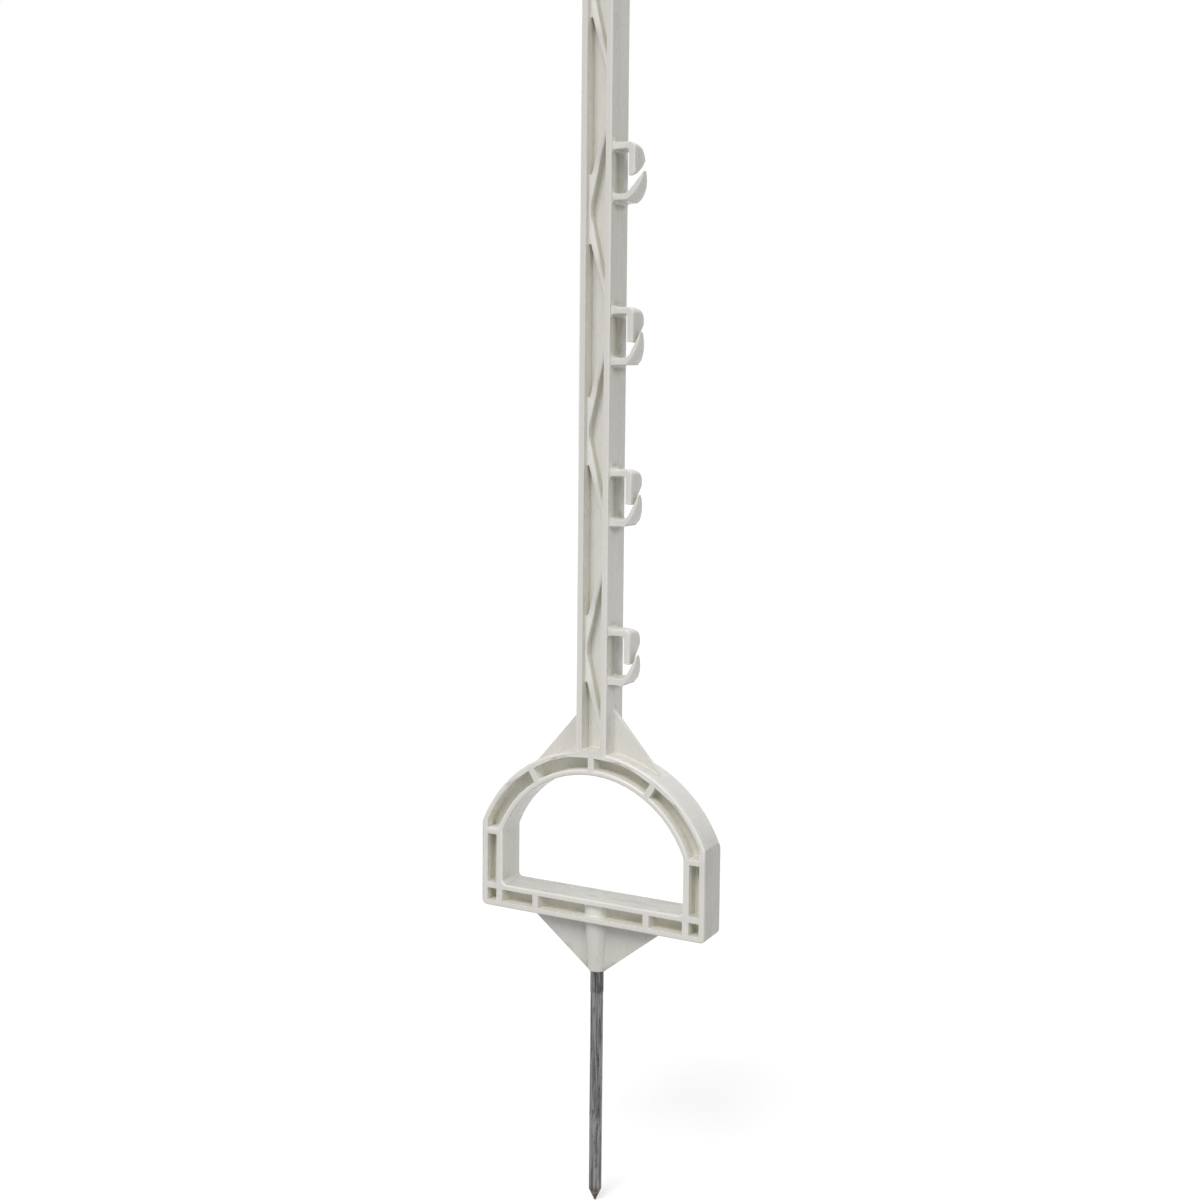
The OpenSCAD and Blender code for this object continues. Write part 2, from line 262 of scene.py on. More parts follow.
@dataclass(frozen=True)
class PlasticFinish:
    """Satin off-white moulded plastic, used outdoors.

    Args:
        clean: Colour of the plastic.
        flow: Colour of the faint streaks of flow.
        painted_channel_light: Lighter, creamier colour on the channels' floors: painted light that lifts them out of
            their shade.
        occlusion: Lighter, yellower colour where the stored occlusion is high, deep in the pockets, the eyes and the
            corners: painted light, standing in for light that bounces inside them and passes through the thin walls.
        painted_eye_shadow: Dark olive colour on the shaft's sides inside the lugs' eyes and under their arms: painted
            shadow of the lugs.
        edge: Lighter colour of the rounded outer edges: a painted highlight along them.
        darker_and_shaded: Darker colour of the foot below the tread bar, of the stirrup's outer sides and of the
            tread's top; below the bar it is painted shade.
        scuffed: Colour of the scuffs on the tread.
        painted_seam_highlight: Lighter colour on the parting line: a painted highlight of the raised line catching
            light.
        roughness: Lowest and highest roughness.
        draft_slope: Slope of the outer faces away from the parting line.
        seam_half: Half width of the parting line, in metres.
        seam_rise: How proud the parting line stands, in metres.
        bar_z: Height of the tread bar's underside, in metres.
        tread_z: Lowest and highest place of the tread's top face, in metres.
        side_x: Distance of the stirrup's outer sides from the middle, in metres.
        channel_half: Half width of the channels' floors, in metres.
        eye_from: Distance from the middle and height from which the eyes lie, in metres.
    """

    clean: Colour = (0.680, 0.662, 0.618)
    flow: Colour = (0.630, 0.618, 0.578)
    painted_channel_light: Colour = (0.755, 0.742, 0.700)
    occlusion: Colour = (0.775, 0.755, 0.655)
    painted_eye_shadow: Colour = (0.500, 0.478, 0.402)
    edge: Colour = (0.800, 0.785, 0.745)
    darker_and_shaded: Colour = (0.485, 0.475, 0.435)
    scuffed: Colour = (0.420, 0.415, 0.390)
    painted_seam_highlight: Colour = (0.735, 0.722, 0.690)
    roughness: tuple[float, float] = (0.23, 0.36)
    draft_slope: float = 0.03
    seam_half: float = 0.60 * MM
    seam_rise: float = 0.08 * MM
    bar_z: float = 46.5 * MM
    tread_z: tuple[float, float] = (59.0 * MM, 64.0 * MM)
    side_x: float = 78.0 * MM
    channel_half: float = 6.4 * MM
    eye_from: tuple[float, float] = (10.2 * MM, 186.0 * MM)

    def material(self) -> bpy.types.Material:
        """Build the material.

        Colour is the clean plastic, with flow streaks along the shaft and broad mottling, then painted light on the
        channels' floors and in every closed-in place, by the stored "occlusion" value, painted shadow in the lugs'
        eyes, a painted highlight on the rounded edges, the darker foot, outer sides and tread with painted shade under
        the bar, the scuffs where the tread faces up, and a painted highlight on the parting line. Height is a fine
        grain, broad sink marks and the parting line at mid-depth, from which both halves slope away.

        Returns:
            The material.
        """
        bench = NodeBench("off_white_plastic")
        flow = bench.ramp(bench.noise((150.0, 150.0, 7.0), 4.0, 0.6), 0.36, 0.70)
        mottle = bench.ramp(bench.noise((26.0, 26.0, 20.0), 3.0, 0.55), 0.35, 0.72)
        colour = bench.mix(bench.maths("MULTIPLY", flow, 0.55), self.clean, self.flow)
        colour = bench.mix(bench.maths("MULTIPLY", mottle, 0.35), colour, self.flow)
        patch = bench.ramp(bench.noise((210.0, 210.0, 150.0), 4.0, 0.6), 0.30, 0.75, 0.80, 1.0)
        occlusion = bench.attribute("occlusion")
        # Painted light on the channels' floors: a lighter, creamier colour that lifts them out of their shade.
        channel_light_share = bench.maths("MULTIPLY", bench.ramp(bench.maths("ABSOLUTE", bench.place(Axis.X)), self.channel_half,
                                                     self.channel_half + MM, 1.0, 0.0),
                              bench.ramp(bench.maths("ABSOLUTE", bench.facing(Axis.Y)), 0.55, 0.95))
        channel_light_share = bench.maths("MULTIPLY", channel_light_share, bench.ramp(occlusion, 0.15, 0.40))
        # Painted light in every closed-in place, by its stored occlusion: a lighter, yellower colour standing in for
        # light bouncing inside it and passing through the thin walls.
        closed = bench.maths("MULTIPLY", bench.ramp(occlusion, 0.30, 0.95), patch)
        closed = bench.maths("MULTIPLY", closed, bench.ramp(channel_light_share, 0.0, 1.0, 1.0, 0.20))
        colour = bench.mix(bench.maths("MULTIPLY", channel_light_share, patch), colour, self.painted_channel_light)
        colour = bench.mix(closed, colour, self.occlusion)
        height = bench.place(Axis.Z)
        # Painted shadow of the lugs: the shaft's sides inside their eyes and under their arms turn dark olive, less so
        # towards the front.
        eyes = bench.ramp(bench.maths("ABSOLUTE", bench.place(Axis.X)), self.eye_from[0] - MM, self.eye_from[0])
        eyes = bench.maths("MULTIPLY", eyes, bench.ramp(height, self.eye_from[1] - 4.0 * MM, self.eye_from[1]))
        eyes = bench.maths("MULTIPLY", eyes, bench.ramp(occlusion, 0.14, 0.38))
        eyes = bench.maths("MULTIPLY", eyes, bench.ramp(bench.place(Axis.Y), -8.0 * MM, -3.0 * MM, 0.25, 1.0))
        eyes = bench.maths("MULTIPLY", eyes, bench.ramp(bench.maths("ABSOLUTE", bench.facing(Axis.X)), 0.4, 0.8))
        colour = bench.mix(eyes, colour, self.painted_eye_shadow)
        # Painted highlight: the rounded outer edges, by their stored bend, take a lighter colour.
        colour = bench.mix(bench.maths("MULTIPLY", bench.attribute("edge"), 0.60), colour, self.edge)
        scuffs = bench.ramp(bench.noise((75.0, 300.0, 300.0), 6.0, 0.65), 0.48, 0.64)
        on_tread = bench.maths("MULTIPLY", bench.ramp(height, self.tread_z[0] - MM, self.tread_z[0]),
                               bench.ramp(height, self.tread_z[1], self.tread_z[1] + MM, 1.0, 0.0))
        on_tread = bench.maths("MULTIPLY", on_tread, bench.ramp(bench.facing(Axis.Z), 0.6, 0.9))
        # Darker foot below the tread bar, outer sides and tread top; below the bar it is painted shade under the bar's
        # overhang.
        below = bench.ramp(height, self.bar_z - 2.0 * MM, self.bar_z + 1.0 * MM, 1.0, 0.0)
        outer = bench.ramp(bench.maths("ABSOLUTE", bench.place(Axis.X)), self.side_x - 1.5 * MM, self.side_x - 0.5 * MM)
        darker_and_shaded_share = bench.maths("MAXIMUM", bench.maths("MULTIPLY", below, 0.60), bench.maths("MULTIPLY", outer, 1.00))
        darker_and_shaded_share = bench.maths("MAXIMUM", darker_and_shaded_share, bench.maths("MULTIPLY", on_tread, 0.62))
        darker_and_shaded_share = bench.maths("MULTIPLY", darker_and_shaded_share, bench.ramp(mottle, 0.0, 1.0, 0.85, 1.15))
        colour = bench.mix(darker_and_shaded_share, colour, self.darker_and_shaded)
        scuffs = bench.maths("MULTIPLY", bench.maths("MULTIPLY", scuffs, on_tread), 0.45)
        colour = bench.mix(scuffs, colour, self.scuffed)

        grain = bench.noise((1500.0, 1500.0, 1500.0), 2.0, 0.6)
        sink = bench.noise((48.0, 48.0, 30.0), 2.0, 0.5)
        depth = bench.maths("ABSOLUTE", bench.place(Axis.Y))
        on_side = bench.ramp(bench.maths("ABSOLUTE", bench.facing(Axis.Y)), 0.55, 0.35)
        seam = bench.maths("MULTIPLY", bench.ramp(depth, self.seam_half * 0.3, self.seam_half, 1.0, 0.0), on_side)
        # Painted highlight on the raised parting line, as a lighter colour along it.
        colour = bench.mix(bench.maths("MULTIPLY", seam, 0.45), colour, self.painted_seam_highlight)
        draft = bench.maths("MULTIPLY", depth, -self.draft_slope)
        normal = bench.bump(draft, 1.0, 1.0)
        normal = bench.bump(seam, self.seam_rise, 1.0, normal)
        normal = bench.bump(sink, 0.5 * MM, 0.25, normal)
        normal = bench.bump(grain, 0.04 * MM, 0.15, normal)

        gloss = bench.ramp(bench.noise((90.0, 90.0, 40.0), 3.0, 0.6), 0.3, 0.7, *self.roughness)
        gloss = bench.maths("ADD", gloss, bench.maths("MULTIPLY", scuffs, 0.2))
        shader = bench.add("ShaderNodeBsdfPrincipled")
        bench.feed(colour, shader.inputs["Base Color"])
        bench.feed(gloss, shader.inputs["Roughness"])
        bench.feed(normal, shader.inputs["Normal"])
        shader.inputs["IOR"].default_value = 1.48
        bench.feed(shader.outputs[0], bench.output.inputs["Surface"])
        return bench.material


@dataclass(frozen=True)
class SteelFinish:
    """Dull drawn steel with dark lengthways streaks, darker in its grooves and browned at its point.

    Args:
        bright: Colour of the bare metal.
        dark: Colour of the streaks and of the grooves' floors.
        brown: Colour of the rust film on the point.
        roughness: Lowest and highest roughness.
        metallic: Share of bare metal, as the rest is a dull oxide film.
        point_z: Highest and lowest place of the browning, in metres.
    """

    bright: Colour = (0.275, 0.272, 0.268)
    dark: Colour = (0.022, 0.022, 0.023)
    brown: Colour = (0.085, 0.050, 0.036)
    roughness: tuple[float, float] = (0.42, 0.64)
    metallic: float = 0.8
    point_z: tuple[float, float] = (-124.5 * MM, -129.5 * MM)

    def material(self) -> bpy.types.Material:
        """Build the material.

        Returns:
            The material.
        """
        bench = NodeBench("drawn_steel")
        streaks = bench.ramp(bench.noise((620.0, 620.0, 30.0), 5.0, 0.65), 0.40, 0.62)
        blotches = bench.ramp(bench.noise((420.0, 420.0, 110.0), 6.0, 0.75), 0.52, 0.62)
        colour = bench.mix(bench.maths("MULTIPLY", streaks, 0.58), self.bright, self.dark)
        colour = bench.mix(bench.maths("MULTIPLY", blotches, 0.65), colour, self.dark)
        colour = bench.mix(bench.maths("MULTIPLY", bench.attribute("groove"), 0.85), colour, self.dark)
        rust = bench.maths("MULTIPLY", bench.ramp(bench.place(Axis.Z), self.point_z[1], self.point_z[0], 1.0, 0.0),
                           bench.ramp(bench.noise((500.0, 500.0, 400.0), 4.0, 0.6), 0.30, 0.62))
        colour = bench.mix(rust, colour, self.brown)
        normal = bench.bump(streaks, 0.06 * MM, 0.5)
        normal = bench.bump(blotches, 0.05 * MM, 0.4, normal)
        gloss = bench.ramp(streaks, 0.0, 1.0, *self.roughness)
        shader = bench.add("ShaderNodeBsdfPrincipled")
        bench.feed(colour, shader.inputs["Base Color"])
        bench.feed(gloss, shader.inputs["Roughness"])
        bench.feed(normal, shader.inputs["Normal"])
        shader.inputs["Metallic"].default_value = self.metallic
        bench.feed(shader.outputs[0], bench.output.inputs["Surface"])
        return bench.material


@dataclass(frozen=True)
class FloorFinish:
    """Plain pale floor that reads as white beside the object and keeps its shadow.

    Args:
        colour: Colour of the floor.
        lift: Light added where the camera, a reflection or glass looks at it.
    """

    colour: Colour = (0.52, 0.52, 0.52)
    lift: float = 0.54

    def material(self) -> bpy.types.Material:
        """Build the material.

        Returns:
            The material.
        """
        bench = NodeBench("pale_floor")
        surface = bench.add("ShaderNodeBsdfDiffuse")
        bench.feed(opaque(self.colour), surface.inputs["Color"])
        path = bench.add("ShaderNodeLightPath")
        seen = bench.maths("MAXIMUM", path.outputs["Is Camera Ray"], path.outputs["Is Glossy Ray"])
        seen = bench.maths("MAXIMUM", seen, path.outputs["Is Transmission Ray"])
        glow = bench.add("ShaderNodeEmission")
        bench.feed(bench.maths("MULTIPLY", seen, self.lift), glow.inputs["Strength"])
        both = bench.add("ShaderNodeAddShader")
        bench.feed(surface.outputs[0], both.inputs[0])
        bench.feed(glow.outputs[0], both.inputs[1])
        bench.feed(both.outputs[0], bench.output.inputs["Surface"])
        return bench.material


def merged_mesh(source: bpy.types.Mesh, name: str, grid: float = 1e-7) -> bpy.types.Mesh:
    """Copy a mesh of loose triangles as one closed surface.

    Corners that fall in the same cell of a fine grid become one vertex, and each triangle is renumbered to match.

    Args:
        source: Mesh of loose triangles, which isn't changed.
        name: Name of the new mesh.
        grid: Size of a cell, in metres.

    Returns:
        The closed mesh.
    """
    points = np.empty(len(source.vertices) * 3, dtype=np.float32)
    source.vertices.foreach_get("co", points)
    points = points.reshape(-1, 3).astype(np.float64)
    source.calc_loop_triangles()
    corners = np.empty(len(source.loop_triangles) * 3, dtype=np.int32)
    source.loop_triangles.foreach_get("vertices", corners)
    cells = np.round(points / grid).astype(np.int64)
    _, first, place = np.unique(cells, axis=0, return_index=True, return_inverse=True)
    triangles = place.ravel()[corners].reshape(-1, 3)
    whole = (triangles[:, 0] != triangles[:, 1]) & (triangles[:, 1] != triangles[:, 2]) & (
        triangles[:, 2] != triangles[:, 0])
    mesh = bpy.data.meshes.new(name)
    mesh.from_pydata(points[first], [], triangles[whole].tolist())
    return mesh


def grid_mesh(name: str, points: Array) -> bpy.types.Mesh:
    """Make a closed round body from rings of points.

    The grid's rows are rings, from the bottom up, and its columns go round them. Each cell is a quad, and one fan at
    each end closes the body on the mean of the end ring.

    Args:
        name: Name of the mesh.
        points: Rings by columns by three.

    Returns:
        The closed mesh.
    """
    rings, columns, _ = points.shape
    ring, column = np.meshgrid(np.arange(rings - 1), np.arange(columns), indexing="ij")
    after = (column + 1) % columns
    quads = np.stack([ring * columns + column, ring * columns + after, (ring + 1) * columns + after,
                      (ring + 1) * columns + column], axis=-1).reshape(-1, 4)
    around = np.arange(columns)
    ahead = (around + 1) % columns
    bottom, top = rings * columns, rings * columns + 1
    last = (rings - 1) * columns
    lower = np.stack([np.full(columns, bottom), ahead, around], axis=-1)
    upper = np.stack([np.full(columns, top), last + around, last + ahead], axis=-1)
    vertices = np.concatenate([points.reshape(-1, 3), points[:1].mean(axis=1), points[-1:].mean(axis=1)])
    mesh = bpy.data.meshes.new(name)
    mesh.from_pydata(vertices, [], quads.tolist() + lower.tolist() + upper.tolist())
    return mesh


@dataclass
class Moulding:
    """The one-piece moulding, with the small rounded edges and inner fillets that the mould gives it.

    Args:
        half_depth: Half depth of the moulding, in millimetres.
        side_x: Half width of the shaft, in millimetres.
        lugs_from: Height from which the shaft carries lugs, in millimetres.
        lug_root: Length over which a lug springs from the shaft, in millimetres.
        rim_round: Round of the edges on the front and back faces, in millimetres.
        inner_share: Share of that round on every other edge.
        corner_share: Its share on the corner of the shaft beside the lugs.
        root_share: Its share where the lugs spring from the shaft.
        flat_angle: Angle below which two triangles are one face, in degrees.
        edge_angle: Angle from which an edge is rounded, in degrees.
        round_steps: Faces across a round.
        ease_rounds: How often rounds that don't fit may be made smaller.
        ease_reach: How far from a bad face the rounds get smaller, in millimetres.
        cuts: Cuts through the mesh for each axis: lowest, highest and spacing, in millimetres.
        probe_reach: Farthest wall that shades a point, in millimetres.
        probe_rays: Rays that look for walls from each point.
        edge_bend: Bend from which a point starts to count as an edge, and that of a full edge, in degrees.
    """

    half_depth: float = 11.25
    side_x: float = 10.25
    lugs_from: float = 190.0
    lug_root: float = 2.4
    rim_round: float = 1.35
    inner_share: float = 0.42
    corner_share: float = 0.50
    root_share: float = 0.09
    flat_angle: float = 1.0
    edge_angle: float = 24.0
    round_steps: int = 4
    ease_rounds: int = 8
    ease_reach: float = 1.2
    cuts: tuple[tuple[float, float, float], ...] = ((-74.6, 74.6, 7.46), (-5.6, 5.6, 5.6), (21.3, 910.0, 7.4))
    probe_reach: float = 16.0
    probe_rays: int = 64
    edge_bend: tuple[float, float] = (7.0, 20.0)

    def build(self, finish: PlasticFinish) -> bpy.types.Object:
        """Make the piece that stands for the moulding's node.

        Args:
            finish: Finish of the plastic.

        Returns:
            The finished piece.
        """
        mesh = merged_mesh(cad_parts[CadNode.MOULDING.value].data, "moulded_post")
        self.join_flats(mesh)
        self.round_edges(mesh)
        self.cut_finely(mesh)
        self.mark_hollows(mesh)
        self.mark_edges(mesh)
        mesh.shade_smooth()
        mesh.materials.append(finish.material())
        piece = bpy.data.objects.new("moulded_post", mesh)
        bpy.context.scene.collection.objects.link(piece)
        even = piece.modifiers.new("even_shading", "WEIGHTED_NORMAL")
        even.mode = "FACE_AREA"
        even.weight = 75
        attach(piece, ROOT_BODY)
        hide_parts(CadNode.MOULDING.value)
        return piece

    def join_flats(self, mesh: bpy.types.Mesh) -> None:
        """Join the triangles of each flat face into one.

        Args:
            mesh: Mesh that is changed.
        """
        work = bmesh.new()
        work.from_mesh(mesh)
        bmesh.ops.dissolve_limit(work, angle_limit=math.radians(self.flat_angle), verts=work.verts, edges=work.edges)
        work.to_mesh(mesh)
        work.free()

    def edge_rounds(self, mesh: bpy.types.Mesh) -> Array:
        """Work out how much of the full round each edge gets.

        The angle of an edge is the one between the normals of its two faces, and only edges above the edge angle get
        a round. The whole of it goes to those in the front and back faces, and a share to all others. Edges on the
        corner of the shaft beside the lugs, and those where the lugs spring from it, get less, since their neighbours
        are close.

        Args:
            mesh: Closed mesh.

        Returns:
            Shares from 0 to 1, one for each edge.
        """
        loops = np.empty(len(mesh.loops), dtype=np.int32)
        mesh.loops.foreach_get("edge_index", loops)
        sizes = np.empty(len(mesh.polygons), dtype=np.int32)
        mesh.polygons.foreach_get("loop_total", sizes)
        normals = np.empty(len(mesh.polygons) * 3, dtype=np.float32)
        mesh.polygons.foreach_get("normal", normals)
        ends = np.empty(len(mesh.edges) * 2, dtype=np.int32)
        mesh.edges.foreach_get("vertices", ends)
        points = np.empty(len(mesh.vertices) * 3, dtype=np.float32)
        mesh.vertices.foreach_get("co", points)
        faces = np.repeat(np.arange(len(sizes)), sizes)[np.argsort(loops, kind="stable")].reshape(-1, 2)
        first, second = (normals.reshape(-1, 3)[faces[:, side]].astype(np.float64) for side in (0, 1))
        angle = np.degrees(np.arccos(np.clip((first * second).sum(axis=1), -1.0, 1.0)))
        place = points.reshape(-1, 3)[ends.reshape(-1, 2)] / MM
        middle = place.mean(axis=1)
        in_face = (np.abs(place[:, :, 1]) > self.half_depth - 0.01).all(axis=1)
        by_lugs = (middle[:, 0] > self.side_x - 0.05) & (middle[:, 0] < self.side_x + self.lug_root) & (
            middle[:, 2] > self.lugs_from)
        share = np.where(in_face, 1.0, self.inner_share)
        share = np.where(by_lugs, np.where(in_face, self.corner_share, self.root_share), share)
        return np.where(angle > self.edge_angle, share, 0.0)

    def round_edges(self, mesh: bpy.types.Mesh) -> None:
        """Round every sharp edge, outer and inner, by a strip of a few faces.

        Where a round is larger than the faces beside it, some of its faces turn over. The rounds near those are made
        smaller, and all are made again from the sharp mesh.

        Args:
            mesh: Mesh that is changed.
        """
        shares = self.edge_rounds(mesh)
        stored = mesh.attributes.new("bevel_weight_edge", "FLOAT", "EDGE")
        ends = np.empty(len(mesh.edges) * 2, dtype=np.int32)
        mesh.edges.foreach_get("vertices", ends)
        points = np.empty(len(mesh.vertices) * 3, dtype=np.float32)
        mesh.vertices.foreach_get("co", points)
        line = points.reshape(-1, 3)[ends.reshape(-1, 2)].astype(np.float64)
        sharp = BVHTree.FromPolygons([v.co for v in mesh.vertices], [tuple(f.vertices) for f in mesh.polygons])
        for turn in range(self.ease_rounds + 1):
            stored.data.foreach_set("value", shares.astype(np.float32))
            rounded = self.rounded(mesh)
            bad = self.turned_over(rounded, sharp)
            log.info("rounds, try %d: %d faces turned over", turn + 1, len(bad))
            if len(bad) == 0 or turn == self.ease_rounds:
                break
            along = line[:, 1] - line[:, 0]
            for spot in bad:
                part = ((spot - line[:, 0]) * along).sum(axis=1) / np.maximum((along * along).sum(axis=1), 1e-16)
                near = line[:, 0] + np.clip(part, 0.0, 1.0)[:, None] * along
                shares[np.linalg.norm(near - spot, axis=1) < self.ease_reach * MM] *= 0.6
            shares[shares < 0.08] = 0.0
            bpy.data.meshes.remove(rounded)
        work = bmesh.new()
        work.from_mesh(rounded)
        work.to_mesh(mesh)
        work.free()
        bpy.data.meshes.remove(rounded)

    def rounded(self, mesh: bpy.types.Mesh) -> bpy.types.Mesh:
        """Copy the mesh with its edges rounded by their stored shares.

        Args:
            mesh: Sharp mesh.

        Returns:
            The rounded copy.
        """
        holder = bpy.data.objects.new("rounding", mesh)
        bpy.context.scene.collection.objects.link(holder)
        bevel = holder.modifiers.new("rounding", "BEVEL")
        bevel.limit_method = "WEIGHT"
        bevel.offset_type = "OFFSET"
        bevel.width = self.rim_round * MM
        bevel.segments = self.round_steps
        bevel.use_clamp_overlap = False
        bevel.loop_slide = False
        bpy.context.view_layer.update()
        done = bpy.data.meshes.new_from_object(holder.evaluated_get(bpy.context.evaluated_depsgraph_get()))
        bpy.data.objects.remove(holder)
        return done

    def turned_over(self, mesh: bpy.types.Mesh, sharp: BVHTree) -> Array:
        """Find the faces that point against the sharp surface nearest to them, or lie far from it.

        Args:
            mesh: Rounded mesh.
            sharp: Surface of the sharp mesh.

        Returns:
            Their middles, in metres.
        """
        bad = []
        for face in mesh.polygons:
            if face.area < 1e-11:
                continue
            _, normal, _, away = sharp.find_nearest(face.center)
            if normal.dot(face.normal) < -0.05 or away > 0.75 * self.rim_round * MM:
                bad.append(face.center)
        return np.array(bad).reshape(-1, 3)

    def cut_finely(self, mesh: bpy.types.Mesh) -> None:
        """Cut the long flat faces into cells by even planes across each axis, without moving the surface.

        Args:
            mesh: Mesh that is changed.
        """
        work = bmesh.new()
        work.from_mesh(mesh)
        for axis, (low, high, gap) in zip(Axis, self.cuts):
            across = [float(axis.value == i) for i in range(3)]
            for place in np.linspace(low, high, round((high - low) / gap) + 1):
                bmesh.ops.bisect_plane(work, geom=work.verts[:] + work.edges[:] + work.faces[:], dist=1e-6,
                                       plane_co=[step * place * MM for step in across], plane_no=across)
        work.to_mesh(mesh)
        work.free()

    def mark_hollows(self, mesh: bpy.types.Mesh) -> None:
        """Store at each point how much of its outlook is closed in by near walls, as "hollow" from 0 to 1.

        From the point, rays leave over the half sphere around its normal, spread by the golden angle with their
        heights as the square root of an even count. The share that meets a wall within reach is the value.

        Args:
            mesh: Mesh that gets the values.
        """
        count = len(mesh.vertices)
        points = np.empty(count * 3, dtype=np.float32)
        mesh.vertices.foreach_get("co", points)
        points = points.reshape(-1, 3).astype(np.float64)
        normal = np.empty(count * 3, dtype=np.float32)
        mesh.vertices.foreach_get("normal", normal)
        normal = normal.reshape(-1, 3).astype(np.float64)
        side = np.where(np.abs(normal[:, 2:3]) < 0.9, np.array([[0.0, 0.0, 1.0]]), np.array([[1.0, 0.0, 0.0]]))
        across = np.cross(side, normal)
        across /= np.maximum(np.linalg.norm(across, axis=1, keepdims=True), 1e-12)
        along = np.cross(normal, across)
        step = np.arange(self.probe_rays)
        turn = step * math.pi * (3.0 - math.sqrt(5.0))
        rise = np.sqrt((step + 0.5) / self.probe_rays)
        spread = np.sqrt(1.0 - rise * rise)
        rays = (across[:, None] * (spread * np.cos(turn))[None, :, None]
                + along[:, None] * (spread * np.sin(turn))[None, :, None] + normal[:, None] * rise[None, :, None])
        starts = points + normal * 0.05 * MM
        mesh.calc_loop_triangles()
        corners = np.empty(len(mesh.loop_triangles) * 3, dtype=np.int32)
        mesh.loop_triangles.foreach_get("vertices", corners)
        tree = BVHTree.FromPolygons(points.tolist(), corners.reshape(-1, 3).tolist())
        reach = self.probe_reach * MM
        met = np.zeros(count)
        for index in range(count):
            start = Vector(starts[index])
            met[index] = sum(tree.ray_cast(start, Vector(ray), reach)[0] is not None for ray in rays[index])
        # The stored occlusion places the painted light in closed-in places and on the channels' floors, and the painted
        # shadow in the lugs' eyes.
        stored = mesh.attributes.new("occlusion", "FLOAT", "POINT")
        stored.data.foreach_set("value", (met / self.probe_rays).astype(np.float32))


    def mark_edges(self, mesh: bpy.types.Mesh) -> None:
        """Store at each point how sharply the surface bends outwards there, as "edge" from 0 to 1.

        Each edge whose two faces meet in a ridge gives half the angle between their normals to both its ends. The
        sum is eased, so that large curves stay at 0.

        Args:
            mesh: Mesh that gets the values.
        """
        loops = np.empty(len(mesh.loops), dtype=np.int32)
        mesh.loops.foreach_get("edge_index", loops)
        sizes = np.empty(len(mesh.polygons), dtype=np.int32)
        mesh.polygons.foreach_get("loop_total", sizes)
        normals = np.empty(len(mesh.polygons) * 3, dtype=np.float32)
        mesh.polygons.foreach_get("normal", normals)
        middles = np.empty(len(mesh.polygons) * 3, dtype=np.float32)
        mesh.polygons.foreach_get("center", middles)
        ends = np.empty(len(mesh.edges) * 2, dtype=np.int32)
        mesh.edges.foreach_get("vertices", ends)
        faces = np.repeat(np.arange(len(sizes)), sizes)[np.argsort(loops, kind="stable")].reshape(-1, 2)
        normal = normals.reshape(-1, 3)[faces].astype(np.float64)
        middle = middles.reshape(-1, 3)[faces].astype(np.float64)
        angle = np.degrees(np.arccos(np.clip((normal[:, 0] * normal[:, 1]).sum(axis=1), -1.0, 1.0)))
        ridge = ((middle[:, 1] - middle[:, 0]) * normal[:, 0]).sum(axis=1) < 0.0
        bend = np.bincount(ends, weights=np.repeat(np.where(ridge, angle, 0.0) / 2.0, 2), minlength=len(mesh.vertices))
        # The stored bend places the painted highlight on the rounded edges.
        stored = mesh.attributes.new("edge", "FLOAT", "POINT")
        stored.data.foreach_set("value", smooth_step(bend, *self.edge_bend).astype(np.float32))


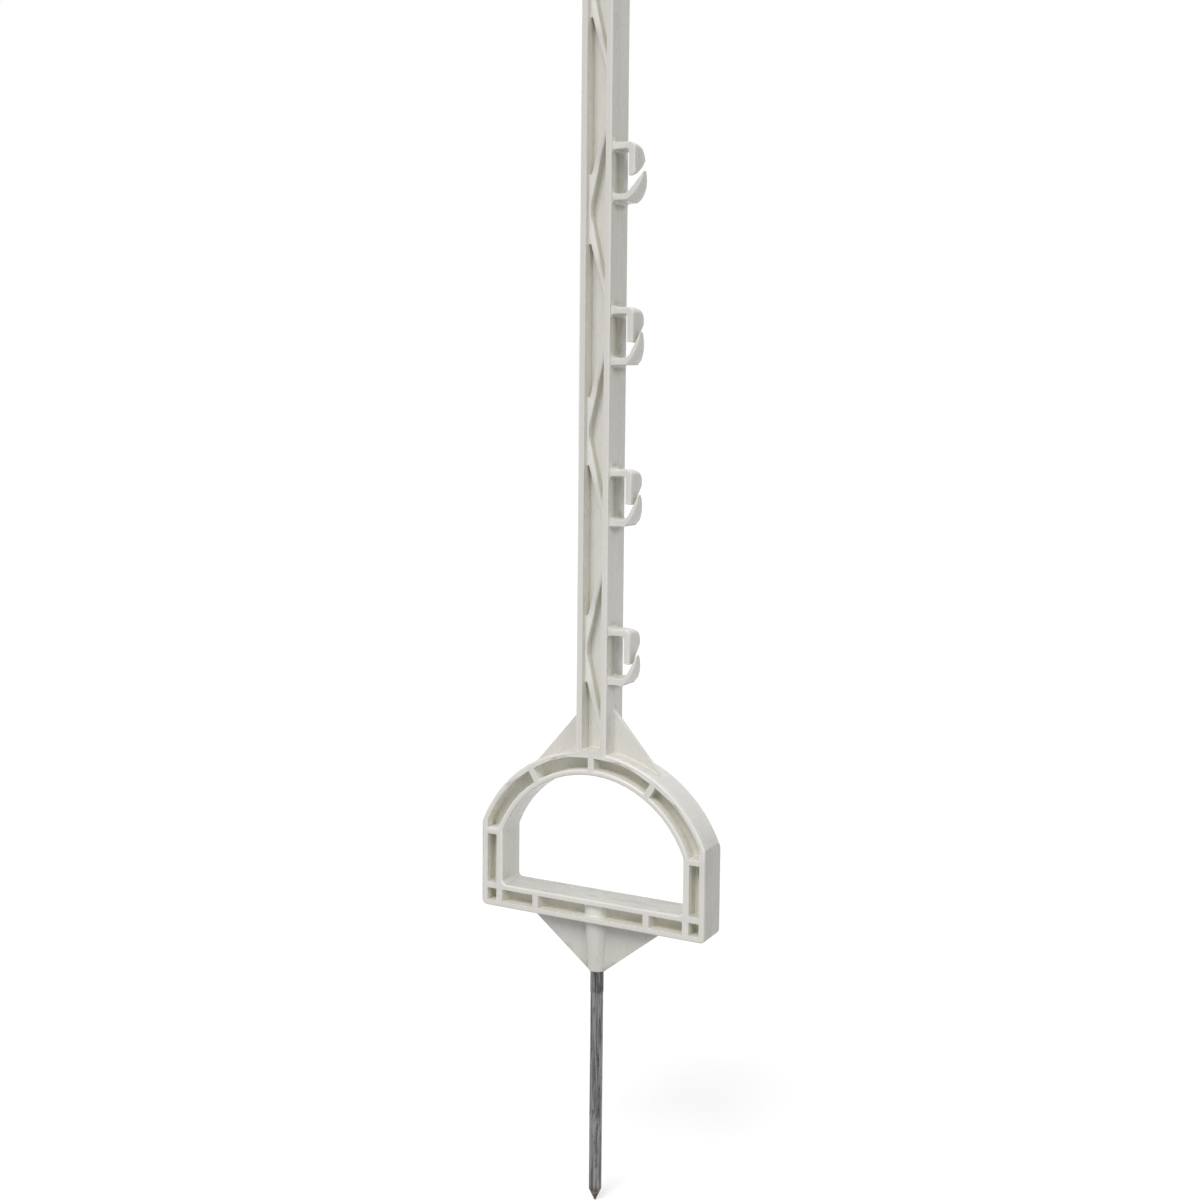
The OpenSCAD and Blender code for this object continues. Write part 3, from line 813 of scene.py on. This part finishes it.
@dataclass
class Spike:
    """The steel spike, fluted where the boss grips it, with a short point.

    Args:
        shank_r: Radius of the plain shank, in millimetres.
        fluted_r: Radius over the fluted part, in millimetres.
        fluted_top: Top of the fluted part, in millimetres.
        groove_deep: Depth of a groove, in millimetres.
        grooves: Number of grooves.
        point_top: Height at which the point begins, in millimetres.
        tip_z: Height of the tip, in millimetres.
        tip_r: Radius of the tip, in millimetres.
        ease: Height of the shoulder's slope and of the top's round, in millimetres.
    """

    shank_r: float = 4.0
    fluted_r: float = 4.2
    fluted_top: float = 59.0
    groove_deep: float = 0.6 / math.sqrt(2.0)
    grooves: int = 14
    point_top: float = -128.0
    tip_z: float = -135.5
    tip_r: float = 0.5
    ease: float = 0.2

    def build(self, finish: SteelFinish) -> bpy.types.Object:
        """Make the piece that stands for the spike's node.

        Args:
            finish: Finish of the steel.

        Returns:
            The finished piece.
        """
        heights, turns = self.heights(), self.turns()
        radius, groove = self.surface(heights[:, None], turns[None, :])
        points = np.stack([radius * np.cos(turns), radius * np.sin(turns),
                           np.broadcast_to(heights[:, None], radius.shape)], axis=-1) * MM
        mesh = grid_mesh("steel_spike", points)
        stored = mesh.attributes.new("groove", "FLOAT", "POINT")
        stored.data.foreach_set("value", np.append(groove.ravel(), [0.0, 0.0]).astype(np.float32))
        mesh.shade_smooth()
        mesh.materials.append(finish.material())
        piece = bpy.data.objects.new("steel_spike", mesh)
        bpy.context.scene.collection.objects.link(piece)
        even = piece.modifiers.new("even_shading", "WEIGHTED_NORMAL")
        even.mode = "FACE_AREA"
        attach(piece, ROOT_BODY)
        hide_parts(CadNode.SPIKE.value)
        return piece

    def heights(self) -> Array:
        """List the rings' heights from the tip up, closer where the outline turns.

        Returns:
            Heights in millimetres.
        """
        point = np.linspace(self.tip_z, self.point_top, 9)
        shank = np.linspace(self.point_top, -self.ease, 34)[1:]
        shoulder = np.linspace(-self.ease, 0.0, 3)[1:]
        fluted = np.linspace(0.0, self.fluted_top - self.ease, 20)[1:]
        top = np.linspace(self.fluted_top - self.ease, self.fluted_top, 3)[1:]
        return np.concatenate([point, shank, shoulder, fluted, top])

    def turns(self) -> Array:
        """List the columns' angles: five across each groove and three across each land.

        Returns:
            Angles in radians.
        """
        pitch = 2.0 * math.pi / self.grooves
        half = self.groove_deep / self.fluted_r
        across = np.linspace(-half, half, 5)
        land = np.linspace(half, pitch - half, 5)[1:-1]
        one = np.concatenate([across, land])
        return (np.arange(self.grooves)[:, None] * pitch + one[None, :]).ravel()

    def surface(self, height: Array, turn: Array) -> tuple[Array, Array]:
        """Work out the spike's radius at each height and angle.

        Above the shoulder the radius is that of the fluted part, less a V groove whose depth falls off evenly to
        both sides of its middle line. Below the shoulder it is the shank's, and from the top of the point it falls
        evenly to the tip's radius.

        Args:
            height: Heights in millimetres.
            turn: Angles in radians.

        Returns:
            Radii in millimetres, and the share of a groove's depth at each point.
        """
        pitch = 2.0 * math.pi / self.grooves
        off = np.abs((turn + pitch / 2.0) % pitch - pitch / 2.0) * self.fluted_r
        depth = np.maximum(self.groove_deep - off, 0.0)
        lift = np.clip((height + self.ease) / self.ease, 0.0, 1.0)
        fluted = self.fluted_r - depth
        fluted = fluted - self.ease * np.clip((height - self.fluted_top + self.ease) / self.ease, 0.0, 1.0) ** 2
        plain = np.interp(height, [self.tip_z, self.point_top], [self.tip_r, self.shank_r])
        radius = plain + (fluted - plain) * lift
        return radius, lift * depth / self.groove_deep


@dataclass(frozen=True)
class Lamp:
    """A wide, far-off lamp, which lights the post and the whole floor evenly.

    Args:
        name: Name of the lamp.
        towards: Direction from the post to the lamp.
        share: Brightness that it gives to a white face turned to it.
        spread: Width of the lamp as the post sees it, in degrees.
    """

    name: str
    towards: Colour
    share: float
    spread: float

    def hang(self) -> bpy.types.Object:
        """Put the lamp in the scene.

        Returns:
            The lamp.
        """
        data = bpy.data.lights.new(self.name, "SUN")
        data.energy = self.share * math.pi
        data.angle = math.radians(self.spread)
        lamp = bpy.data.objects.new(self.name, data)
        lamp.rotation_euler = (-Vector(self.towards)).to_track_quat("-Z", "Y").to_euler()
        bpy.context.scene.collection.objects.link(lamp)
        return lamp


@dataclass
class Studio:
    """Floor, lamps and sky.

    Args:
        floor_z: Height of the floor, in metres.
        floor_half: Half width of the floor, in metres.
        sky: Strength of the even light from all round.
        lamps: The lamps.
    """

    floor_z: float = -135.7 * MM
    floor_half: float = 12.0
    sky: float = 0.38
    lamps: tuple[Lamp, ...] = (
        Lamp("key_lamp", (0.00, -0.64, 0.77), 0.60, 30.0),
        Lamp("right_lamp", (0.82, -0.46, 0.33), 0.175, 16.0),
        Lamp("left_lamp", (-0.94, -0.20, 0.27), 0.10, 60.0),
        Lamp("back_lamp", (0.00, 0.86, 0.51), 0.20, 60.0),
    )

    def build(self, finish: FloorFinish) -> None:
        """Set up the studio.

        Args:
            finish: Finish of the floor.
        """
        self.lay_floor(finish)
        self.light_sky()
        for lamp in self.lamps:
            lamp.hang()

    def lay_floor(self, finish: FloorFinish) -> None:
        """Lay one flat square below the spike's tip.

        Args:
            finish: Finish of the floor.
        """
        corner = np.array([[-1.0, -1.0], [1.0, -1.0], [1.0, 1.0], [-1.0, 1.0]]) * self.floor_half
        points = np.column_stack([corner, np.full(4, self.floor_z)])
        mesh = bpy.data.meshes.new("floor")
        mesh.from_pydata(points, [], [(0, 1, 2, 3)])
        mesh.materials.append(finish.material())
        floor = bpy.data.objects.new("floor", mesh)
        bpy.context.scene.collection.objects.link(floor)

    def light_sky(self) -> None:
        """Give an even white light, which the camera and rays through glass see at full white."""
        world = bpy.data.worlds.new("even_sky")
        world.use_nodes = True
        tree = world.node_tree
        tree.nodes.clear()
        path = tree.nodes.new("ShaderNodeLightPath")
        seen = tree.nodes.new("ShaderNodeMath")
        seen.operation = "MAXIMUM"
        tree.links.new(path.outputs["Is Camera Ray"], seen.inputs[0])
        tree.links.new(path.outputs["Is Transmission Ray"], seen.inputs[1])
        strength = tree.nodes.new("ShaderNodeMapRange")
        tree.links.new(seen.outputs[0], strength.inputs["Value"])
        strength.inputs["To Min"].default_value = self.sky
        strength.inputs["To Max"].default_value = 1.0
        light = tree.nodes.new("ShaderNodeBackground")
        light.inputs["Color"].default_value = opaque((1.0, 1.0, 1.0))
        tree.links.new(strength.outputs["Result"], light.inputs["Strength"])
        out = tree.nodes.new("ShaderNodeOutputWorld")
        tree.links.new(light.outputs[0], out.inputs["Surface"])
        bpy.context.scene.world = world


@dataclass
class PhotoCamera:
    """The camera, where the photograph was taken from.

    Args:
        aim: Point on the lens axis, in metres.
        distance: Distance from that point, in metres.
        azimuth: Turn about Z from the front, in degrees.
        elevation: Height above the horizon, in degrees.
        roll: Turn about the lens axis, in degrees.
        focal: Focal length on a 36 mm sensor, in millimetres.
        shift: Shift of the frame, as shares of its width.
    """

    aim: Colour = (0.0, 0.0, 295.9 * MM)
    distance: float = 976.3 * MM
    azimuth: float = 27.6
    elevation: float = 4.69
    roll: float = 0.546
    focal: float = 1597.6 / 1200.0 * 36.0
    shift: tuple[float, float] = (-1.38 / 1200.0, -80.0 / 1200.0)

    def place(self) -> bpy.types.Object:
        """Put the camera in the scene.

        Its direction from the aim is (sin a cos e, -cos a cos e, sin e), for azimuth a and elevation e.

        Returns:
            The camera.
        """
        a, e = math.radians(self.azimuth), math.radians(self.elevation)
        back = Vector((math.sin(a) * math.cos(e), -math.cos(a) * math.cos(e), math.sin(e)))
        data = bpy.data.cameras.new("photo_camera")
        data.lens = self.focal
        data.sensor_width = 36.0
        data.shift_x, data.shift_y = self.shift
        data.clip_start, data.clip_end = 0.02, 60.0
        camera = bpy.data.objects.new("photo_camera", data)
        turn = (-back).to_track_quat("-Z", "Y").to_matrix().to_4x4() @ Matrix.Rotation(math.radians(self.roll), 4, "Z")
        camera.matrix_world = Matrix.Translation(Vector(self.aim) + back * self.distance) @ turn
        bpy.context.scene.collection.objects.link(camera)
        bpy.context.scene.camera = camera
        return camera


def report(piece: bpy.types.Object) -> None:
    """Log a piece's name and the size of its mesh.

    Args:
        piece: The piece.
    """
    corners = sum(len(face.vertices) - 2 for face in piece.data.polygons)
    log.info("%s: %d vertices, %d triangles", piece.name, len(piece.data.vertices), corners)


def main() -> None:
    """Build the moulding, the spike, the studio and the camera."""
    logging.basicConfig(level=logging.INFO, format="%(name)s %(message)s")
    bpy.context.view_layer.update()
    bpy.context.scene.view_settings.view_transform = "Standard"
    report(Moulding().build(PlasticFinish()))
    report(Spike().build(SteelFinish()))
    Studio().build(FloorFinish())
    PhotoCamera().place()
    bpy.context.view_layer.update()


if __name__ == "__main__":
    main()
